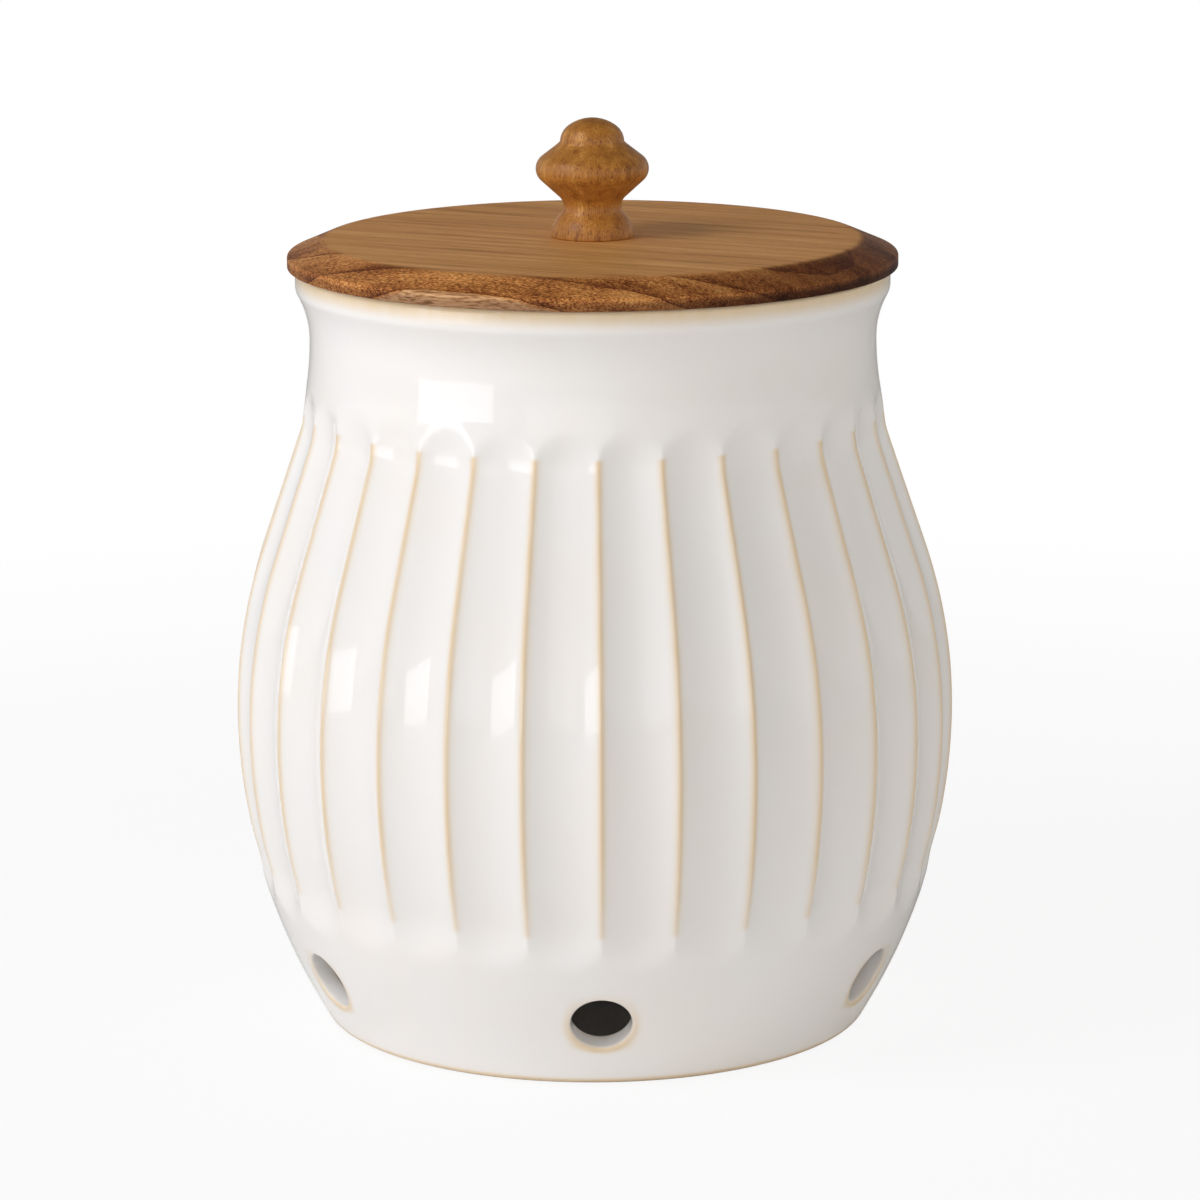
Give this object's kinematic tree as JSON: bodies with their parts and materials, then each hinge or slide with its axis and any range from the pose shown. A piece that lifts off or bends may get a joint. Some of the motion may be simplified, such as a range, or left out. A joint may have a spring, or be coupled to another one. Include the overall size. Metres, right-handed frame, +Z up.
{
  "type": "potato keeper",
  "caption": "Round fluted ceramic storage jar with a flared neck, vent holes above its foot, and a lift-off wooden lid with a turned knob.",
  "frame": {"origin": "middle of the foot ring, on the surface that the jar stands on", "axes": "+Z up along the jar's axis, -Y through the middle of the front vent hole, +X to the right as seen from the front"},
  "size_m": [0.2352, 0.2366, 0.2976],
  "materials": {
    "glaze": "glossy white glaze, thin and amber on edges",
    "lid_wood": "oiled, mid brown with dark streaks",
    "plug_wood": "oiled, mid brown with dark streaks",
    "knob_wood": "oiled, honey brown",
    "seal": "soft, translucent white",
    "screw": "plain bright steel"
  },
  "bodies": {
    "jar": {"crock": "glaze"},
    "lid": {"lid_board": "lid_wood", "lid_plug": "plug_wood", "seal_ring": "seal", "knob": "knob_wood", "knob_screw": "screw"}
  },
  "joints": [
    {"name": "lid_lift", "type": "slide", "parent": "jar", "child": "lid", "axis": [0, 0, 1], "range_m": [0, 0.15]}
  ]
}
